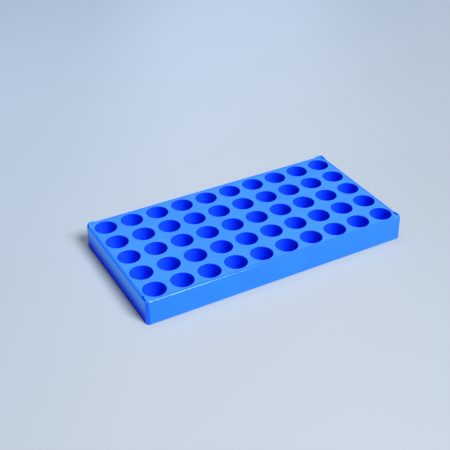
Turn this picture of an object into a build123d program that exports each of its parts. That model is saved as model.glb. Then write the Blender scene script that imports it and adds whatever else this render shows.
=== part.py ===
from build123d import *
import math
import os

# Test tube rack with fifty wells, a single polypropylene moulding. It is drawn as the regions
# that a toolmaker would name, which meet face to face: one well with its square of deck at
# each place of the grid, the four sides of the skirt, mitred at the corners, and a raised lug
# on each corner.
#
# Millimetres, +Z up. The origin is under the centre of the rack, on the surface it stands on.
# X runs along the long side, columns 1 to 10 from left to right. Y runs from front to back,
# rows a to e.

# Grid of wells
columns = 10
row_letters = "abcde"
pitch = 21.0
edge_margin = 11.3  # from the outermost wells to the outer face of the skirt, at the deck
well_diameter = 16.8
well_depth = 17.0
mouth_round = 0.2

# Heights and walls
rack_height = 19.2
deck_thickness = 2.0
cup_wall = 1.2
cup_floor = 1.2
cup_foot_bevel = 0.6

# Skirt, measured at the deck: the outer face leans out on its way down, the inner face is upright
skirt_wall = 2.0
skirt_draft = 1.0  # degrees
skirt_corner_radius = 2.5
rim_round = 1.0
foot_round = 0.3

# Corner lugs, measured from the outer face of the skirt at the deck
lug_height = 1.2
lug_level = 5.2  # how much of each arm is at full height, before it slopes down to its tip
lug_arm = 7.8
lug_tip_height = 0.2
lug_outer_inset = 0.25
lug_inner_inset = 1.9
lug_lean = 0.45  # how much further in the outer faces are at the top
lug_round = 0.15
lug_outer_corner_radius = 2.2
lug_inner_corner_radius = 0.5

# Worked out from the above
rows = len(row_letters)
deck_length = (columns - 1) * pitch + 2 * edge_margin
deck_width = (rows - 1) * pitch + 2 * edge_margin
deck_underside = rack_height - deck_thickness
cup_radius = well_diameter / 2 + cup_wall
cup_underside = rack_height - well_depth - cup_floor

foot_spread = rack_height * math.tan(math.radians(skirt_draft))
foot_length = deck_length + 2 * foot_spread
foot_width = deck_width + 2 * foot_spread
foot_corner_radius = skirt_corner_radius + foot_spread

inside_length = deck_length - 2 * skirt_wall
inside_width = deck_width - 2 * skirt_wall
inside_corner_radius = skirt_corner_radius - skirt_wall

os.makedirs("parts", exist_ok=True)


# Outer form: the whole rack as a drafted block, before anything is hollowed out or raised
with BuildPart() as outer_form:
    with BuildSketch():
        RectangleRounded(foot_length, foot_width, foot_corner_radius)
    extrude(amount=rack_height, taper=skirt_draft)
    fillet(outer_form.faces().sort_by(Axis.Z)[-1].edges(), rim_round)
    fillet(outer_form.faces().sort_by(Axis.Z)[0].edges(), foot_round)


# Skirt: four sides cut from the outer form
mitre_reach = 4.0  # how far each mitre runs in and out from the corner of the deck

sides = (
    ("front_wall", deck_length, deck_width, 0),
    ("right_wall", deck_width, deck_length, 90),
    ("back_wall", deck_length, deck_width, 180),
    ("left_wall", deck_width, deck_length, 270),
)

for side_name, side_length, side_apart, turn in sides:
    end = side_length / 2
    face = -side_apart / 2
    with BuildPart() as side:
        add(outer_form.part)
        with BuildSketch():
            RectangleRounded(inside_length, inside_width, inside_corner_radius)
        extrude(amount=rack_height, mode=Mode.SUBTRACT)
        with BuildSketch():
            Polygon(
                (-end - mitre_reach, face - mitre_reach),
                (end + mitre_reach, face - mitre_reach),
                (end - mitre_reach, face + mitre_reach),
                (-end + mitre_reach, face + mitre_reach),
                align=None,
                rotation=turn,
            )
        extrude(amount=rack_height, mode=Mode.INTERSECT)
    side.part.label = side_name
    export_step(side.part, f"parts/{side_name}.step")


# Wells: a square of deck and the blind cup that hangs from it. Those at the edges stop at the skirt.
for row, row_letter in enumerate(row_letters):
    for column in range(columns):
        x = (column - (columns - 1) / 2) * pitch
        y = (row - (rows - 1) / 2) * pitch
        well_name = f"well_{row_letter}{column + 1:02d}"
        with BuildPart() as well:
            with BuildSketch(Plane(origin=(x, y, cup_underside))):
                Circle(cup_radius)
            extrude(amount=rack_height - cup_underside)
            chamfer(well.edges().sort_by(Axis.Z)[0], cup_foot_bevel)
            with BuildSketch(Plane(origin=(x, y, deck_underside))):
                Rectangle(pitch, pitch)
            extrude(amount=deck_thickness)
            with BuildSketch():
                RectangleRounded(inside_length, inside_width, inside_corner_radius)
            extrude(amount=rack_height, mode=Mode.INTERSECT)
            with Locations((x, y, rack_height)):
                Hole(well_diameter / 2, depth=well_depth)
            mouth = well.edges().filter_by(GeomType.CIRCLE).group_by(Axis.Z)[-1].sort_by(SortBy.RADIUS)[-1]
            fillet(mouth, mouth_round)
        well.part.label = well_name
        export_step(well.part, f"parts/{well_name}.step")


# Corner lugs: an L-shaped rib around each corner, leaning in on its outer faces, with arms that
# slope down to their tips. Its foot laps over the round of the rim, nearly flush with the skirt.
lug_foot = rack_height - rim_round
lug_top = rack_height + lug_height
lug_reach = rim_round + lug_height
lug_lean_angle = math.degrees(math.atan2(lug_lean, lug_reach))


def lug_outline(edge, outward):
    """Side view of one arm: where the edge of the deck is, and which way is outward (1 or -1)."""
    return (
        (edge, lug_foot),
        (edge, lug_top),
        (edge - outward * lug_level, lug_top),
        (edge - outward * lug_arm, rack_height + lug_tip_height),
        (edge - outward * lug_arm, lug_foot),
    )


def lies_above_tips(edge):
    return edge.bounding_box().min.Z > rack_height + lug_tip_height / 2


corners = (
    ("front_left", -1, -1),
    ("front_right", 1, -1),
    ("back_left", -1, 1),
    ("back_right", 1, 1),
)

for corner_name, across, along in corners:
    with BuildPart() as lug:
        with BuildSketch(Plane.XY.offset(lug_foot)):
            RectangleRounded(
                deck_length - 2 * lug_outer_inset,
                deck_width - 2 * lug_outer_inset,
                lug_outer_corner_radius,
            )
        extrude(amount=lug_reach, taper=lug_lean_angle)
        with BuildSketch(Plane.XY.offset(rack_height)):
            RectangleRounded(
                deck_length - 2 * lug_inner_inset,
                deck_width - 2 * lug_inner_inset,
                lug_inner_corner_radius,
            )
        extrude(amount=lug_height, mode=Mode.SUBTRACT)
        with BuildSketch(Plane.XZ):
            Polygon(*lug_outline(across * deck_length / 2, across), align=None)
        extrude(amount=deck_width, both=True, mode=Mode.INTERSECT)
        with BuildSketch(Plane.YZ):
            Polygon(*lug_outline(along * deck_width / 2, along), align=None)
        extrude(amount=deck_length, both=True, mode=Mode.INTERSECT)
        add(outer_form.part, mode=Mode.SUBTRACT)
        of_top = lug.edges().filter_by(lies_above_tips)
        across_arms = of_top.filter_by(GeomType.LINE).filter_by(lambda edge: edge.length < lug_inner_inset)
        fillet(of_top - across_arms, lug_round)
    lug.part.label = f"corner_lug_{corner_name}"
    export_step(lug.part, f"parts/corner_lug_{corner_name}.step")
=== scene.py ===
import math

import bpy
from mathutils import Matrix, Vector


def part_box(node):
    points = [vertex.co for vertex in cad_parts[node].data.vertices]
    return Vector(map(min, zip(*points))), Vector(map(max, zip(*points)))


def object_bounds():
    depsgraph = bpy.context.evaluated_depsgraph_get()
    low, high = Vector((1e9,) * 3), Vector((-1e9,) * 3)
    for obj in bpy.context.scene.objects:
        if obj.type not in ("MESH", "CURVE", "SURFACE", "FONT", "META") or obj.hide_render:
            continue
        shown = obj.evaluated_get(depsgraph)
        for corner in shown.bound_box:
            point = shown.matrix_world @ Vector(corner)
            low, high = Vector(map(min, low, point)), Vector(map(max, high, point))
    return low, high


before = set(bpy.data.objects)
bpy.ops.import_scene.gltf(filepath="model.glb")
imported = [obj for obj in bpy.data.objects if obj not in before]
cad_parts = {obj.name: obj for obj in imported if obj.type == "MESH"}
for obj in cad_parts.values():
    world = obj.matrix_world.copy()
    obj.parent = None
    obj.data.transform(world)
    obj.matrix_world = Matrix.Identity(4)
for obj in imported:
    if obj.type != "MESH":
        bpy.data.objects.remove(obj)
cad_low, cad_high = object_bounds()

MM = 0.001

# Where things are, from the frame
deck_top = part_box("well_c05")[1].z
mouth = deck_top / MM  # height of the mouths of the wells, in the textures' millimetres
centre = (cad_low + cad_high) / 2

# The blue of the moulding, and painted light and shade on it. A pair is the two ends of a range.
DECK_BLUE = ((0.028, 0.160, 0.66, 1), (0.034, 0.175, 0.68, 1))
SKIRT_BLUE = ((0.010, 0.142, 0.62, 1), (0.013, 0.152, 0.64, 1))
# Painted light and shade inside the wells: deep on walls facing left, brighter on walls facing right, and
# brighter still on their floors
WELL_PAINTED_SHADE_AND_LIGHT_BLUE = ((0.0, 0.017, 0.66, 1), (0.006, 0.061, 0.86, 1))
WELL_FLOOR_PAINTED_LIGHT_BLUE = (0.0, 0.130, 0.93, 1)
PAINTED_GLOW_BLUE = (0.075, 0.325, 0.93, 1)  # painted glow under the rim, on sides that the key light doesn't reach
PAINTED_FOOT_SHADE_BLUE = (0.0, 0.026, 0.80, 1)  # painted shade low down on those sides
PAINTED_TOE_SHADOW_BLUE = (0.0, 0.012, 0.42, 1)  # painted shadow where they meet the floor
PAINTED_RIM_SHADE_BLUE = (0.024, 0.098, 0.60, 1)  # painted shade along the rim of the lit sides
PAINTED_CORNER_SHADE_BLUE = (0.0, 0.082, 0.86, 1)  # painted shade down the corners, and along the rim of the shaded sides
# Painted shade on the sides of the lugs away from the key light
PAINTED_SHADE_LUG_BLUE = (0.0, 0.055, 0.70, 1)
SCUFFED_BLUE = (0.04, 0.24, 0.93, 1)

# Painted reflection: how much the moulding reflects, more where the key light reaches it and less where it
# doesn't. At 0.5 it would be all that its index of refraction gives.
LIT_SHEEN = 0.46
SHADED_SHEEN = 0.02
WELL_SHEEN_SHARE = 0.25
LUG_SHEEN_SHARE = 0.4
SHEEN_TINT = (0.6, 1.0, 1.0, 1)
POLYPROPYLENE_IOR = 1.49

# Roughness: the polish of the mould, and what the grain, marks and scuffs add to it
POLISHED = 0.11
DULL = 0.16
GRAIN_ROUGHNESS = 0.03
MARK_ROUGHNESS = 0.08
SCUFF_ROUGHNESS = 0.2

# Sizes across of the features of the surface, in millimetres
MOTTLING_SIZE = 35.0
POLISH_SIZE = 9.0
FLOW_LINE_SIZE = 5.0
ORANGE_PEEL_SIZE = 2.2
GRAIN_SIZE = 0.35

# Depths of its relief, in millimetres
ORANGE_PEEL_DEPTH = 0.006
GRAIN_DEPTH = 0.001
MARK_DEPTH = 0.002

# The paper under the rack, with painted light and shade on it
NEAR_PAPER = (0.273, 0.308, 0.348, 1)
FAR_PAPER_PAINTED_LIGHT = (0.340, 0.414, 0.530, 1)
PAINTED_SHADE_PAPER = (0.20, 0.25, 0.31, 1)  # painted shade, well to either side
PAPER_ROUGHNESS = 0.75

# Where the lights are, seen from the rack
KEY_DIRECTION = (0.17, -0.64, 0.75)
OVERHEAD_DIRECTION = (0.0, 0.10, 1.0)
FILL_DIRECTION = (-1.0, -0.05, 0.14)
UP = (0.0, 0.0, 1.0)


# Small helpers for node trees. Lengths in the textures are millimetres.
def new_material(name):
    """An empty node material: its tree and its Principled shader."""
    material = bpy.data.materials.new(name)
    material.use_nodes = True
    tree = material.node_tree
    tree.nodes.clear()
    output = tree.nodes.new("ShaderNodeOutputMaterial")
    shader = tree.nodes.new("ShaderNodeBsdfPrincipled")
    tree.links.new(shader.outputs["BSDF"], output.inputs["Surface"])
    return material, tree, shader


def feed(tree, socket, value):
    """Link a socket to an output, or set it to a plain value."""
    if isinstance(value, bpy.types.NodeSocket):
        tree.links.new(value, socket)
    else:
        socket.default_value = value


def millimetres(tree, stretch=(1, 1, 1), turn=0.0):
    """Object coordinates in millimetres, stretched and turned about Z."""
    coordinates = tree.nodes.new("ShaderNodeTexCoord")
    mapping = tree.nodes.new("ShaderNodeMapping")
    mapping.inputs["Rotation"].default_value = (0, 0, math.radians(turn))
    mapping.inputs["Scale"].default_value = [s / MM for s in stretch]
    tree.links.new(coordinates.outputs["Object"], mapping.inputs["Vector"])
    return mapping.outputs["Vector"]


def noise(tree, position, size, detail):
    """Noise from 0 to 1 whose features are about size millimetres across."""
    texture = tree.nodes.new("ShaderNodeTexNoise")
    texture.inputs["Scale"].default_value = 1 / size
    texture.inputs["Detail"].default_value = detail
    tree.links.new(position, texture.inputs["Vector"])
    return texture.outputs["Fac"]


def ramp(tree, value, start, end, low=0.0, high=1.0):
    """Value mapped smoothly from start..end to low..high, and held beyond."""
    node = tree.nodes.new("ShaderNodeMapRange")
    node.interpolation_type = "SMOOTHSTEP"
    feed(tree, node.inputs["Value"], value)
    node.inputs["From Min"].default_value = start
    node.inputs["From Max"].default_value = end
    node.inputs["To Min"].default_value = low
    node.inputs["To Max"].default_value = high
    return node.outputs["Result"]


def calculate(tree, operation, first, second):
    """One step of arithmetic on two sockets or numbers."""
    node = tree.nodes.new("ShaderNodeMath")
    node.operation = operation
    feed(tree, node.inputs[0], first)
    feed(tree, node.inputs[1], second)
    return node.outputs["Value"]


def mix_colours(tree, factor, first, second):
    """The first colour where the factor is 0, and the second where it is 1."""
    node = tree.nodes.new("ShaderNodeMix")
    node.data_type = "RGBA"
    feed(tree, node.inputs["Factor"], factor)
    feed(tree, node.inputs["A"], first)
    feed(tree, node.inputs["B"], second)
    return node.outputs["Result"]


def bump(tree, height, distance, below=None):
    """Relief of a depth in millimetres, laid over the normal below it."""
    node = tree.nodes.new("ShaderNodeBump")
    node.inputs["Distance"].default_value = distance * MM
    feed(tree, node.inputs["Height"], height)
    if below is not None:
        tree.links.new(below, node.inputs["Normal"])
    return node.outputs["Normal"]


def height_above_floor(tree):
    """Height in millimetres."""
    split = tree.nodes.new("ShaderNodeSeparateXYZ")
    tree.links.new(millimetres(tree), split.inputs["Vector"])
    return split.outputs["Z"]


def hairlines(tree, turn, patch_size):
    """Fine scuffs in one direction, as from tubes and hands: mostly 0, with thin streaks of 1."""
    streaks = noise(tree, millimetres(tree, (0.05, 2.5, 1.0), turn), 1.0, 1.0)
    patches = noise(tree, millimetres(tree), patch_size, 1.0)
    return calculate(tree, "MULTIPLY", ramp(tree, streaks, 0.66, 0.74), ramp(tree, patches, 0.45, 0.65))


def facing(tree, direction):
    """How far the surface faces a direction, from -1 to 1."""
    geometry = tree.nodes.new("ShaderNodeNewGeometry")
    dot = tree.nodes.new("ShaderNodeVectorMath")
    dot.operation = "DOT_PRODUCT"
    tree.links.new(geometry.outputs["Normal"], dot.inputs[0])
    dot.inputs[1].default_value = Vector(direction).normalized()
    return dot.outputs["Value"]


def lit(tree):
    """Which surfaces the key light reaches: 1 for level ones and those on its side, 0 for the rest."""
    return ramp(tree, facing(tree, (KEY_DIRECTION[0], KEY_DIRECTION[1], 0.0)), -0.2, -0.04)


def at_corners(tree):
    """Which parts of the skirt turn a corner: 1 halfway round, 0 on the flat sides."""
    geometry = tree.nodes.new("ShaderNodeNewGeometry")
    split = tree.nodes.new("ShaderNodeSeparateXYZ")
    tree.links.new(geometry.outputs["Normal"], split.inputs["Vector"])
    both_ways = calculate(tree, "MULTIPLY", split.outputs["X"], split.outputs["Y"])
    return ramp(tree, calculate(tree, "MULTIPLY", both_ways, both_ways), 0.002, 0.06)


def polish(tree):
    """Slow unevenness of the gloss, from 0 to 1."""
    return noise(tree, millimetres(tree), POLISH_SIZE, 3.0)


def polypropylene(name, blues):
    """Satin moulded polypropylene: its material, tree and shader, and what its variants change."""
    material, tree, shader = new_material(name)
    place = millimetres(tree)

    # Colour: slow mottling of the pigment, with faint flow lines along the moulding
    mottling = calculate(tree, "MULTIPLY", noise(tree, place, MOTTLING_SIZE, 2.0), 0.65)
    flow_lines = noise(tree, millimetres(tree, (0.12, 1.0, 0.4)), FLOW_LINE_SIZE, 2.0)
    shade = calculate(tree, "ADD", mottling, calculate(tree, "MULTIPLY", flow_lines, 0.35))
    colour = mix_colours(tree, ramp(tree, shade, 0.35, 0.65), *blues)

    # Gloss: satin, broken up by handling
    grain = noise(tree, place, GRAIN_SIZE, 1.0)
    first_marks = hairlines(tree, turn=24, patch_size=14.0)
    second_marks = hairlines(tree, turn=-51, patch_size=11.0)
    marks = calculate(tree, "ADD", first_marks, second_marks)
    roughness = ramp(tree, polish(tree), 0.3, 0.7, POLISHED, DULL)
    roughness = calculate(tree, "ADD", roughness, calculate(tree, "MULTIPLY", grain, GRAIN_ROUGHNESS))
    roughness = calculate(tree, "ADD", roughness, calculate(tree, "MULTIPLY", marks, MARK_ROUGHNESS))

    # Surface: orange peel from the mould, the grain of its face, and marks scratched into it
    normal = bump(tree, noise(tree, place, ORANGE_PEEL_SIZE, 1.0), ORANGE_PEEL_DEPTH)
    normal = bump(tree, grain, GRAIN_DEPTH, normal)
    normal = bump(tree, calculate(tree, "SUBTRACT", 1.0, marks), MARK_DEPTH, normal)

    tree.links.new(normal, shader.inputs["Normal"])
    shader.inputs["IOR"].default_value = POLYPROPYLENE_IOR
    shader.inputs["Specular Tint"].default_value = SHEEN_TINT
    # Painted reflection: strong where the key light reaches, weak where it doesn't
    sheen = ramp(tree, lit(tree), 0, 1, SHADED_SHEEN, LIT_SHEEN)
    return material, tree, shader, colour, roughness, sheen


def finish_material(tree, shader, colour, roughness, sheen):
    """Feed the shader what the variants may have changed."""
    tree.links.new(colour, shader.inputs["Base Color"])
    tree.links.new(roughness, shader.inputs["Roughness"])
    tree.links.new(sheen, shader.inputs["Specular IOR Level"])


def well_material():
    """Deck and wells: painted shade inside the wells, a deeper blue standing in for light that bounces
    about in them.
    """
    material, tree, shader, colour, roughness, sheen = polypropylene("blue_polypropylene_wells", DECK_BLUE)
    height = height_above_floor(tree)
    inside = ramp(tree, height, mouth - 0.8, mouth - 0.1, 1.0, 0.0)

    # Painted light and shade inside: deep on walls that face left, brighter on those that face right, and
    # brightest on the floor
    painted_wall_light_and_shade = mix_colours(tree, ramp(tree, facing(tree, (1.0, -0.3, 0.0)), -0.7, 0.65), *WELL_PAINTED_SHADE_AND_LIGHT_BLUE)
    level = ramp(tree, facing(tree, UP), 0.3, 0.8)
    colour = mix_colours(tree, inside, colour, mix_colours(tree, level, painted_wall_light_and_shade, WELL_FLOOR_PAINTED_LIGHT_BLUE))

    # Painted shade on the reflections: they are weaker below the mouths
    share = ramp(tree, height, mouth - 0.06, mouth - 0.01, WELL_SHEEN_SHARE, 1.0)
    sheen = calculate(tree, "MULTIPLY", sheen, share)
    finish_material(tree, shader, colour, roughness, sheen)
    return material


def skirt_material():
    """Skirt: on its shaded sides painted light glows under the rim and painted shade deepens the foot,
    painted shade runs along its rims and down its corners, and the bench scuffs the foot.
    """
    material, tree, shader, colour, roughness, sheen = polypropylene("blue_polypropylene_skirt", SKIRT_BLUE)
    height = height_above_floor(tree)

    # Shaded sides: painted shadow at the toe, painted shade up to the foot, painted light above it, and
    # then painted shade along the rim
    glow = mix_colours(tree, ramp(tree, height, 0.0, 5.0), PAINTED_TOE_SHADOW_BLUE, PAINTED_FOOT_SHADE_BLUE)
    glow = mix_colours(tree, ramp(tree, height, 3.0, 15.5), glow, PAINTED_GLOW_BLUE)
    rim = ramp(tree, height, mouth - 1.1, mouth - 0.5)
    glow = mix_colours(tree, rim, glow, PAINTED_CORNER_SHADE_BLUE)

    # Lit sides with painted shade along the rim, and then both together
    colour = mix_colours(tree, calculate(tree, "MULTIPLY", rim, 0.5), colour, PAINTED_RIM_SHADE_BLUE)
    colour = mix_colours(tree, lit(tree), glow, colour)
    # Painted shade down the corners
    colour = mix_colours(tree, at_corners(tree), colour, PAINTED_CORNER_SHADE_BLUE)

    # Scuffs: a ragged band along the foot
    ragged_height = calculate(tree, "ADD", height, calculate(tree, "MULTIPLY", polish(tree), 2.4))
    scuff = ramp(tree, ragged_height, 1.2, 2.2, 1.0, 0.0)
    colour = mix_colours(tree, calculate(tree, "MULTIPLY", scuff, 0.25), colour, SCUFFED_BLUE)
    roughness = calculate(tree, "ADD", roughness, calculate(tree, "MULTIPLY", scuff, SCUFF_ROUGHNESS))
    finish_material(tree, shader, colour, roughness, sheen)
    return material


def lug_material():
    """Corner lugs: duller than the deck, with painted shade, a deeper blue, on the sides away from the key
    light.
    """
    material, tree, shader, colour, roughness, sheen = polypropylene("blue_polypropylene_lugs", DECK_BLUE)
    colour = mix_colours(tree, lit(tree), PAINTED_SHADE_LUG_BLUE, colour)
    sheen = calculate(tree, "MULTIPLY", sheen, LUG_SHEEN_SHARE)
    finish_material(tree, shader, colour, roughness, sheen)
    return material


def dress(names, material):
    """Give a material to every slot of the nodes with these names."""
    for name in names:
        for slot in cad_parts[name].material_slots:
            slot.material = material


well_names = [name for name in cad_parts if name.startswith("well_")]
wall_names = [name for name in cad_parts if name.endswith("_wall")]
lug_names = [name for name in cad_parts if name.startswith("corner_lug_")]
dress(well_names, well_material())
dress(wall_names, skirt_material())
dress(lug_names, lug_material())


def studio_floor():
    """A pale level sheet of paper, with painted light making it a little bluer and brighter towards the
    back, and painted shade making it dimmer to either side.
    """
    half = 3.0  # metres
    outline = [(-half, -half, 0), (half, -half, 0), (half, half, 0), (-half, half, 0)]
    mesh = bpy.data.meshes.new("studio_floor")
    mesh.from_pydata(outline, [], [(0, 1, 2, 3)])
    floor = bpy.data.objects.new("studio_floor", mesh)
    bpy.context.scene.collection.objects.link(floor)
    material, tree, shader = new_material("studio_paper")
    split = tree.nodes.new("ShaderNodeSeparateXYZ")
    tree.links.new(millimetres(tree), split.inputs["Vector"])
    x = split.outputs["X"]
    y = split.outputs["Y"]

    # Painted light: bluer and brighter towards the back
    away = calculate(tree, "SUBTRACT", y, calculate(tree, "MULTIPLY", x, 0.25))
    paper = mix_colours(tree, ramp(tree, away, -160, 520), NEAR_PAPER, FAR_PAPER_PAINTED_LIGHT)

    # Painted shade: dimmer to either side of a line through the rack, from front left to back right
    aside_x = calculate(tree, "MULTIPLY", x, 0.87)
    aside_y = calculate(tree, "MULTIPLY", y, 0.49)
    aside = calculate(tree, "SUBTRACT", aside_x, aside_y)
    painted_dimness = ramp(tree, calculate(tree, "ABSOLUTE", aside, 0.0), 40, 200, 0.0, 0.34)
    paper = mix_colours(tree, painted_dimness, paper, PAINTED_SHADE_PAPER)

    tree.links.new(paper, shader.inputs["Base Color"])
    shader.inputs["Roughness"].default_value = PAPER_ROUGHNESS
    mesh.materials.append(material)


studio_floor()


def softbox(name, direction, distance, size, power, colour=(1, 1, 1)):
    """A square light that faces the rack from a direction."""
    data = bpy.data.lights.new(name, "AREA")
    data.shape = "SQUARE"
    data.size = size
    data.energy = power
    data.color = colour
    light = bpy.data.objects.new(name, data)
    way = Vector(direction).normalized()
    light.location = centre + way * distance
    light.rotation_euler = way.to_track_quat("Z", "Y").to_euler()
    bpy.context.scene.collection.objects.link(light)


softbox("key", KEY_DIRECTION, distance=2.5, size=1.0, power=125)
softbox("overhead", OVERHEAD_DIRECTION, distance=1.8, size=1.2, power=16, colour=(0.96, 0.98, 1.0))
softbox("fill", FILL_DIRECTION, distance=1.8, size=0.4, power=8, colour=(0.80, 0.92, 1.0))


def surroundings():
    """A dim, slightly blue room."""
    world = bpy.data.worlds.new("studio")
    bpy.context.scene.world = world
    world.use_nodes = True
    background = world.node_tree.nodes["Background"]
    background.inputs["Color"].default_value = (0.90, 0.95, 1.0, 1)
    background.inputs["Strength"].default_value = 0.12


surroundings()

# Camera: a long lens from the front left, above
CAMERA_AZIMUTH = math.radians(-29.09)
CAMERA_ELEVATION = math.radians(34.08)
CAMERA_DISTANCE = 0.647
CAMERA_AIM = Vector((-16.0 * MM, 1.7 * MM, deck_top))
CAMERA_LENS = 69.65

camera_data = bpy.data.cameras.new("camera")
camera_data.sensor_width = 36
camera_data.lens = CAMERA_LENS
camera = bpy.data.objects.new("camera", camera_data)
bpy.context.scene.collection.objects.link(camera)
towards_camera = Vector((
    math.sin(CAMERA_AZIMUTH) * math.cos(CAMERA_ELEVATION),
    -math.cos(CAMERA_AZIMUTH) * math.cos(CAMERA_ELEVATION),
    math.sin(CAMERA_ELEVATION),
))
camera.location = CAMERA_AIM + towards_camera * CAMERA_DISTANCE
camera.rotation_mode = "QUATERNION"
camera.rotation_quaternion = (-towards_camera).to_track_quat("-Z", "Y")
bpy.context.scene.camera = camera

bpy.context.scene.view_settings.view_transform = "Standard"
bpy.context.scene.view_settings.look = "None"
